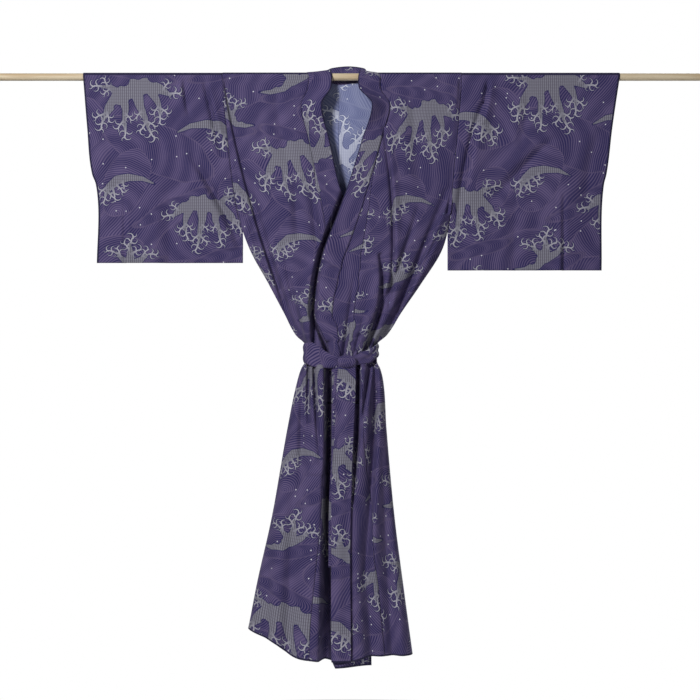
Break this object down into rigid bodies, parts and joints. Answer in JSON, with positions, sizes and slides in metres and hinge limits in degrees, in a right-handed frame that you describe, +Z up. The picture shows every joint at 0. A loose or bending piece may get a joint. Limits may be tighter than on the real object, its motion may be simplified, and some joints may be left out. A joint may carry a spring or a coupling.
{
  "type": "cotton yukata robe on a wooden hanging rod",
  "caption": "Unlined cotton yukata robe with wide square sleeves and folded collar, wrapped left over right, tied with its own belt and hung on a plain rod through both sleeves.",
  "frame": {"origin": "on the rod's axis at mid-length, behind the neck of the robe", "axes": "+X along the rod towards the wearer's left sleeve, +Y towards the robe's back, +Z up"},
  "size_m": [1.8, 0.1366, 1.4536],
  "materials": {
    "printed_cotton": "matte printed cotton",
    "pale_wood": "smooth sanded wood"
  },
  "bodies": {
    "root": {"body_left": "printed_cotton", "body_right": "printed_cotton", "overlap_left": "printed_cotton", "overlap_right": "printed_cotton", "collar": "printed_cotton", "sleeve_left": "printed_cotton", "sleeve_right": "printed_cotton", "belt": "printed_cotton", "belt_knot": "printed_cotton", "belt_end_front": "printed_cotton", "belt_end_under": "printed_cotton", "rod": "pale_wood"}
  },
  "joints": []
}
